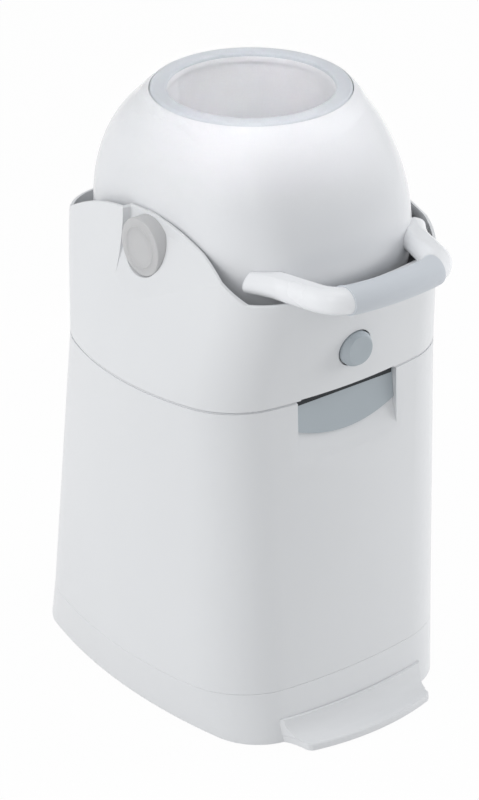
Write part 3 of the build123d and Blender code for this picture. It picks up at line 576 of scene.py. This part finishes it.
# ---------------------------------------------------------------- pieces

class BIN_OT_finishes(bpy.types.Operator):
    """Mix the plastics, rubber, felt and steel of the bin"""
    bl_idname = "nappy_bin.finishes"
    bl_label = "Finishes"

    def execute(self, context):
        mix_finishes()
        return {"FINISHED"}


class BIN_OT_casing(bpy.types.Operator):
    """Dress the upper housing, the pail and the plinth"""
    bl_idname = "nappy_bin.casing"
    bl_label = "Casing"

    def execute(self, context):
        angle = context.scene.bin_casing.smooth_angle
        for node, name in (("head_housing", "casing_head"), ("pail_shell", "casing_pail"),
                           ("base_plinth", "casing_plinth")):
            smooth_copy(node, name, FINISHES["white body"], angle)
        return {"FINISHED"}


class BIN_OT_drum(bpy.types.Operator):
    """Dress the drum's two shells and the arms of its handle"""
    bl_idname = "nappy_bin.drum"
    bl_label = "Drum and handle"

    def execute(self, context):
        angle = context.scene.bin_casing.smooth_angle
        for node, name in (("drum_shell_upper", "drum_upper"), ("drum_shell_lower", "drum_lower")):
            smooth_copy(node, name, FINISHES["white drum"], angle)
        smooth_copy("handle_bow", "handle_arms", FINISHES["white arms"], angle)
        smooth_copy("handle_grip", "handle_sleeve", FINISHES["grip grey"], angle)
        return {"FINISHED"}


def ring_bore(node):
    """Radius of the hole in a ring that is centred on the mouth's axis."""
    return min(math.hypot(v.co.x, v.co.y) for v in NODES[node].data.vertices)


def mouth_ring(name, node, upper):
    """A rounded trim ring, spun from a section whose corners are rounded by hand."""
    drum = bpy.context.scene.bin_drum
    low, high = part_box(node)
    outer = (high.x - low.x) / 2
    inner = ring_bore(node)
    middle, width, height = (outer + inner) / 2, outer - inner, high.z - low.z
    put_down()
    bpy.ops.mesh.primitive_plane_add(size=1, location=(middle, 0, (low.z + high.z) / 2),
                                     rotation=(math.pi / 2, 0, 0))
    ring = bpy.context.object
    ring.scale = (width, height, 1)
    bpy.ops.object.transform_apply(location=True, rotation=True, scale=True)
    face_z = high.z if upper else low.z
    for x, rounding, steps in ((outer, drum.ring_outer_round, 10),
                               (inner, drum.ring_inner_round, 6)):
        corner = Vector((x, 0, face_z))
        choose(ring, "VERT", lambda point: (point - corner).length < CORNER_GAP)
        bpy.ops.mesh.bevel(offset=rounding, segments=steps, profile=0.5, affect="VERTICES")
    choose_all(ring)
    bpy.ops.mesh.spin(steps=drum.ring_sides, angle=2 * math.pi, center=(0, 0, 0), axis=(0, 0, 1))
    bpy.ops.object.mode_set(mode="OBJECT")
    choose(ring, "FACE", lambda point: abs(point.y) < MERGE_GAP and point.x > 0)
    bpy.ops.mesh.delete(type="ONLY_FACE")
    choose_all(ring)
    bpy.ops.mesh.remove_doubles(threshold=MERGE_GAP)
    bpy.ops.mesh.normals_make_consistent(inside=False)
    smooth(ring, RING_ANGLE)
    finish_piece(ring, name, "drum", FINISHES["silver ring"], (node,))


def mouth_sleeve(name, node, upper):
    """White sleeve in a ring's bore, which stops short of the silver lip."""
    drum = bpy.context.scene.bin_drum
    low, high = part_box(node)
    bore, wall, height = ring_bore(node), drum.sleeve_wall, drum.sleeve_height
    foot = Vector((0, 0, low.z if upper else high.z - height))
    rings = [(0, bore - wall), (0, bore + wall), (height, bore + wall), (height, bore - wall)]
    sleeve = turned_band(foot, rings, drum.ring_sides)
    smooth(sleeve, RING_ANGLE)
    finish_piece(sleeve, name, "drum", FINISHES["white well"], ())


def mouth_skirt(name, upper):
    """White skirt that carries the dome's curve up to the ring, past a fine groove.

    It is narrow at the left and right, where the cradle runs close to the drum."""
    drum = bpy.context.scene.bin_drum
    low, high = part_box("mouth_ring_upper")
    inner, soft = (high.x - low.x) / 2 + drum.skirt_groove, drum.skirt_round
    crest, fall = inner + soft, drum.skirt_width - soft
    lip = high.z - drum.skirt_drop - low.z
    rings = [(-soft, inner), (lip - soft, inner), (lip - 0.3 * soft, inner + 0.3 * soft)]
    rings += [(lip, crest + fall * step / drum.skirt_steps)
              for step in range(drum.skirt_steps + 1)]
    skirt = turned_band(Vector((0, 0, low.z)), rings, drum.ring_sides)
    seat = skirt.vertex_groups.new(name="seat")
    for vertex in skirt.data.vertices:
        outward = min((math.hypot(vertex.co.x, vertex.co.y) - crest) / fall, 1)
        sideways = (abs(vertex.co.x) - crest) / drum.skirt_side
        if outward > 0.01:
            seat.add([vertex.index], min(max(outward * (2 - outward), sideways), 1), "REPLACE")
    wrap = skirt.modifiers.new("seat on the dome", "SHRINKWRAP")
    wrap.wrap_method = "PROJECT"
    wrap.use_project_z = True
    wrap.use_negative_direction = True
    wrap.target = bpy.data.objects["drum_upper"]
    wrap.vertex_group = "seat"
    wrap.offset = -drum.skirt_sink
    apply_modifiers(skirt)
    if not upper:
        skirt.rotation_euler = (math.pi, 0, 0)
        skirt.location = (0, 0, 2 * PIVOT.z)
    smooth(skirt, RING_ANGLE)
    finish_piece(skirt, name, "drum", FINISHES["white drum"], ())


class BIN_OT_mouth_rings(bpy.types.Operator):
    """Spin the silver-grey ring round each mouth of the drum, with its sleeve and skirt"""
    bl_idname = "nappy_bin.mouth_rings"
    bl_label = "Mouth rings"

    def execute(self, context):
        for end, node, upper in (("top", "mouth_ring_upper", True),
                                 ("bottom", "mouth_ring_lower", False)):
            mouth_ring("mouth_ring_" + end, node, upper)
            mouth_sleeve("mouth_sleeve_" + end, node, upper)
            mouth_skirt("mouth_skirt_" + end, upper)
        return {"FINISHED"}


class BIN_OT_well(bpy.types.Operator):
    """Dress the tube inside the drum and the piston that slides in it"""
    bl_idname = "nappy_bin.well"
    bl_label = "Well and piston"

    def execute(self, context):
        angle = context.scene.bin_casing.smooth_angle
        for node, name in (("well_tube", "well_lining"), ("piston_body", "piston_cup"),
                           ("piston_lid", "piston_end")):
            smooth_copy(node, name, FINISHES["white well"], angle)
        finish_node("piston_weight", FINISHES["zinc steel"])
        finish_node("piston_wipers", FINISHES["felt"])
        return {"FINISHED"}


def hub_cover(side, axis):
    """A hollow round cap with a rounded edge, a plain bead and a shallow dish."""
    drum = bpy.context.scene.bin_drum
    node = "hub_cap_" + side
    low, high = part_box(node)
    back, front = sorted((abs(low.x), abs(high.x)))
    radius = (high.z - low.z) / 2
    face, soft = front - drum.hub_bead_height, 0.3 * MM
    bead_out, bead_in = drum.hub_bead_radius, drum.hub_bead_radius - drum.hub_bead_width
    rings = [(face - drum.hub_wall, radius - drum.hub_wall), (back, radius - drum.hub_wall),
             (back, radius)]
    rings += rounded_rim(face, radius, drum.hub_edge_round)
    rings += [(face, bead_out + soft), (face + soft, bead_out), (front - soft / 2, bead_out - soft),
              (front, bead_out - 2 * soft), (front, bead_in + 2 * soft),
              (front - soft / 2, bead_in + soft), (face + soft, bead_in), (face, bead_in - soft),
              (face - drum.hub_dish, bead_in / 2), (face - 1.3 * drum.hub_dish, soft)]
    cover = turned(Vector((0, 0, PIVOT.z)), axis, rings, drum.turned_sides)
    smooth(cover, HUB_ANGLE)
    finish_piece(cover, "hub_cover_" + side, "head", FINISHES["hub grey"], (node,))


class BIN_OT_hubs(bpy.types.Operator):
    """Dress the hub caps, bushes, axles and washers"""
    bl_idname = "nappy_bin.hubs"
    bl_label = "Hubs"

    def execute(self, context):
        for side, way in (("left", -1), ("right", 1)):
            hub_cover(side, Vector((way, 0, 0)))
            finish_node("axle_bush_" + side, FINISHES["acetal"])
            finish_node("drum_axle_" + side, FINISHES["acetal"])
        finish_node("thrust_washers", FINISHES["acetal"])
        return {"FINISHED"}


def push_button():
    """The bevelled button with its dished face, hollow back and push stem."""
    trim = bpy.context.scene.bin_trim
    low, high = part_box("release_button")
    face, end, radius = -low.y, -high.y, (high.x - low.x) / 2
    shoulder, soft = face - trim.button_bevel, 0.4 * MM
    back, web = shoulder - trim.button_skirt, face - trim.button_web
    inner, stem, flat = radius - trim.button_wall, trim.button_stem, trim.button_face_radius
    slope = (radius - flat) / trim.button_bevel
    rings = [(end, stem - soft), (end + soft, stem), (web, stem), (web, inner), (back, inner),
             (back, radius), (shoulder - soft, radius), (shoulder + soft, radius - slope * soft)]
    rings += [(face - 2 * soft, flat + 2 * slope * soft), (face - soft / 2, flat),
              (face, flat - soft), (face, 0.7 * flat), (face - soft / 2, 0.35 * flat),
              (face - soft, soft)]
    middle = Vector((0, 0, (low.z + high.z) / 2))
    button = turned(middle, Vector((0, -1, 0)), rings, bpy.context.scene.bin_drum.turned_sides)
    smooth(button, BUTTON_ANGLE)
    finish_piece(button, "push_button", "button", FINISHES["button grey"], ("release_button",))


def recess_face(height):
    """How far forward the recess lining reaches above one height."""
    below = height - 1 * MM
    return min(v.co.y for v in NODES["grip_insert"].data.vertices if v.co.z > below)


def recess_buffer():
    """A dark strip along the lining's top, under the head's front edge: painted shade for the deep
    shadow in the gap there.
    """
    trim = bpy.context.scene.bin_trim
    low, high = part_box("grip_insert")
    put_down()
    bpy.ops.mesh.primitive_cube_add(size=1)
    strip = bpy.context.object
    length = high.x - low.x - 2 * trim.shade_strip_inset
    strip.scale = (length, trim.shade_strip_depth, trim.shade_strip_height)
    back = recess_face(high.z - trim.shade_strip_height)
    strip.location = (0, back - trim.shade_strip_depth / 2, high.z - trim.shade_strip_height / 2)
    bpy.ops.object.transform_apply(location=True, rotation=True, scale=True)
    bevel = strip.modifiers.new("soft corners", "BEVEL")
    bevel.width = trim.shade_strip_depth / 3
    bevel.segments = 3
    apply_modifiers(strip)
    smooth(strip, RING_ANGLE)
    finish_piece(strip, "recess_buffer", "pail", FINISHES["foam"], ())


def coil_spring(angle):
    """The button's spring: a smoothly shaded copy of its node, with a mesh of its own."""
    spring = smooth_copy("button_spring", "coil_spring", FINISHES["spring steel"],
                         angle)
    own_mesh(spring)


class BIN_OT_button(bpy.types.Operator):
    """Dress the release button, its guide and the latch"""
    bl_idname = "nappy_bin.button"
    bl_label = "Button and latch"

    def execute(self, context):
        angle = context.scene.bin_casing.smooth_angle
        push_button()
        smooth_copy("grip_insert", "recess_lining", FINISHES["button grey"], angle)
        # A dark strip of painted shade in the gap under the head's front edge.
        recess_buffer()
        for node in ("button_guide", "latch_slide", "latch_hook", "latch_keeper"):
            finish_node(node, FINISHES["white inner"])
        coil_spring(angle)
        return {"FINISHED"}


class BIN_OT_inside(bpy.types.Operator):
    """Dress the cradle, its seal and the bag ring"""
    bl_idname = "nappy_bin.inside"
    bl_label = "Inside"

    def execute(self, context):
        angle = context.scene.bin_casing.smooth_angle
        smooth_copy("drum_cradle", "cradle_trough", FINISHES["white inner"], angle)
        smooth_copy("bag_ring", "bag_hoop", FINISHES["white inner"], angle)
        smooth_copy("drum_seal", "cradle_seal", FINISHES["seal rubber"], angle)
        return {"FINISHED"}


def rubber_foot(place):
    """One round foot with a spigot above and a ring pressed into its sole."""
    trim = bpy.context.scene.bin_trim
    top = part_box("rubber_feet")[1].z
    radius, height, spigot = trim.foot_radius, trim.foot_height, trim.foot_spigot
    soft, groove = 0.4 * MM, trim.foot_groove
    rings = [(-top, spigot - soft), (soft - top, spigot), (-height, spigot),
             (-height, radius - soft), (soft - height, radius), (-2.6 * soft, radius),
             (-soft, radius - soft), (0, radius - 2.5 * soft), (0, 0.72 * radius),
             (-groove, 0.69 * radius), (-groove, 0.58 * radius), (0, 0.55 * radius), (0, soft)]
    return turned(place, Vector((0, 0, -1)), rings, trim.foot_sides)


def rubber_feet():
    """Four copies of the foot, one at each place in the record."""
    mounts = frame["record"]["mounts"]
    places = [Vector(mount["pos_m"]) for mount in mounts if mount["name"].startswith("foot_")]
    first = rubber_foot(places[0])
    feet = [first]
    for place in places[1:]:
        foot = first.copy()
        foot.data = first.data.copy()
        bpy.context.scene.collection.objects.link(foot)
        foot.location = place - places[0]
        feet.append(foot)
    put_down()
    for foot in feet:
        foot.select_set(True)
    bpy.context.view_layer.objects.active = first
    bpy.ops.object.join()
    smooth(first, FOOT_ANGLE)
    finish_piece(first, "feet", "pail", FINISHES["foot rubber"], ("rubber_feet",))


class BIN_OT_fastenings(bpy.types.Operator):
    """Dress the feet, the screws and the hinge pin"""
    bl_idname = "nappy_bin.fastenings"
    bl_label = "Feet and fastenings"

    def execute(self, context):
        rubber_feet()
        for node in ("base_screws", "cradle_screws", "hinge_pin"):
            finish_node(node, FINISHES["zinc steel"])
        return {"FINISHED"}


# ---------------------------------------------------------------- stage

def studio_white(grey, share):
    """Pale floor that the camera and reflections see as nearly white, shadow kept."""
    material = bpy.data.materials.new("studio floor")
    material.use_nodes = True
    tree = material.node_tree
    surface = tree.nodes["Principled BSDF"]
    surface.inputs["Base Color"].default_value = (grey, grey, grey, 1)
    surface.inputs["Roughness"].default_value = 0.9
    glow = tree.nodes.new("ShaderNodeEmission")
    glow.inputs["Strength"].default_value = 1.0
    path = tree.nodes.new("ShaderNodeLightPath")
    seen = arithmetic(tree, "MAXIMUM", path.outputs["Is Camera Ray"], path.outputs["Is Glossy Ray"])
    seen = arithmetic(tree, "MAXIMUM", seen, path.outputs["Is Transmission Ray"])
    amount = arithmetic(tree, "MULTIPLY", seen, share)
    mix = tree.nodes.new("ShaderNodeMixShader")
    tree.links.new(amount, mix.inputs["Fac"])
    tree.links.new(surface.outputs["BSDF"], mix.inputs[1])
    tree.links.new(glow.outputs["Emission"], mix.inputs[2])
    tree.links.new(mix.outputs["Shader"], tree.nodes["Material Output"].inputs["Surface"])
    return material


def studio_world(strength):
    """Even light all round, which the camera sees as white."""
    world = bpy.data.worlds.new("studio")
    bpy.context.scene.world = world
    world.use_nodes = True
    tree = world.node_tree
    sky = tree.nodes["Background"]
    sky.inputs["Color"].default_value = (0.97, 0.985, 1.0, 1)
    sky.inputs["Strength"].default_value = strength
    white = tree.nodes.new("ShaderNodeBackground")
    white.inputs["Color"].default_value = (1, 1, 1, 1)
    path = tree.nodes.new("ShaderNodeLightPath")
    mix = tree.nodes.new("ShaderNodeMixShader")
    tree.links.new(path.outputs["Is Camera Ray"], mix.inputs["Fac"])
    tree.links.new(sky.outputs["Background"], mix.inputs[1])
    tree.links.new(white.outputs["Background"], mix.inputs[2])
    tree.links.new(mix.outputs["Shader"], tree.nodes["World Output"].inputs["Surface"])


def softbox(name, power):
    """A rectangular lamp of the table, which looks at a point."""
    place, aim, width, height, spread_degrees, glossy = LAMPS[name]
    put_down()
    bpy.ops.object.light_add(type="AREA", location=place)
    lamp = bpy.context.object
    lamp.name = name
    lamp.data.shape = "RECTANGLE"
    lamp.data.size = width
    lamp.data.size_y = height
    lamp.data.energy = power
    lamp.data.spread = math.radians(spread_degrees)
    lamp.visible_glossy = glossy
    lamp.rotation_mode = "QUATERNION"
    lamp.rotation_quaternion = (Vector(aim) - Vector(place)).to_track_quat("-Z", "Y")


def place_camera(stage):
    """Camera at the photograph's angle."""
    turn, lift = stage.camera_azimuth, stage.camera_elevation
    back = Vector((math.sin(turn) * math.cos(lift), -math.cos(turn) * math.cos(lift),
                   math.sin(lift)))
    aim = Vector(stage.camera_aim)
    put_down()
    bpy.ops.object.camera_add(location=aim + back * stage.camera_distance)
    camera = bpy.context.object
    camera.name = "camera"
    camera.data.lens = stage.camera_lens
    camera.data.sensor_width = 36
    camera.data.clip_end = 50
    camera.rotation_mode = "QUATERNION"
    camera.rotation_quaternion = (-back).to_track_quat("-Z", "Y")
    bpy.context.scene.camera = camera


class BIN_OT_stage(bpy.types.Operator):
    """Set the pale floor, the soft lamps and the camera"""
    bl_idname = "nappy_bin.stage"
    bl_label = "Stage"

    def execute(self, context):
        stage = context.scene.bin_stage
        put_down()
        bpy.ops.mesh.primitive_plane_add(size=FLOOR_SIZE, location=(0, 0, 0))
        floor = context.object
        floor.name = "floor"
        floor.data.materials.append(studio_white(stage.floor_grey, stage.floor_glow))
        studio_world(stage.world_strength)
        for name in LAMPS:
            softbox(name, getattr(stage, name + "_power"))
        place_camera(stage)
        context.scene.view_settings.view_transform = "Standard"
        return {"FINISHED"}


class BIN_PT_panel(bpy.types.Panel):
    """The steps that dress the bin"""
    bl_idname = "BIN_PT_panel"
    bl_label = "Nappy bin"
    bl_space_type = "VIEW_3D"
    bl_region_type = "UI"
    bl_category = "Nappy bin"

    def draw(self, context):
        column = self.layout.column(align=True)
        for step in STEPS:
            column.operator(step.bl_idname)


STEPS = (BIN_OT_finishes, BIN_OT_stage, BIN_OT_casing, BIN_OT_drum, BIN_OT_mouth_rings,
         BIN_OT_well, BIN_OT_hubs, BIN_OT_button, BIN_OT_inside, BIN_OT_fastenings)
SETTINGS = {"bin_casing": CasingSettings, "bin_drum": DrumSettings, "bin_trim": TrimSettings,
            "bin_stage": StageSettings}


def register():
    for name, group in SETTINGS.items():
        bpy.utils.register_class(group)
        setattr(bpy.types.Scene, name, bpy.props.PointerProperty(type=group))
    for item in STEPS + (BIN_PT_panel,):
        bpy.utils.register_class(item)


def unregister():
    for item in reversed(STEPS + (BIN_PT_panel,)):
        bpy.utils.unregister_class(item)
    for name, group in SETTINGS.items():
        delattr(bpy.types.Scene, name)
        bpy.utils.unregister_class(group)


def main():
    """Runs every step in order."""
    register()
    bpy.ops.nappy_bin.finishes()
    bpy.ops.nappy_bin.stage()
    bpy.ops.nappy_bin.casing()
    bpy.ops.nappy_bin.drum()
    bpy.ops.nappy_bin.mouth_rings()
    bpy.ops.nappy_bin.well()
    bpy.ops.nappy_bin.hubs()
    bpy.ops.nappy_bin.button()
    bpy.ops.nappy_bin.inside()
    bpy.ops.nappy_bin.fastenings()


if __name__ == "__main__":
    main()
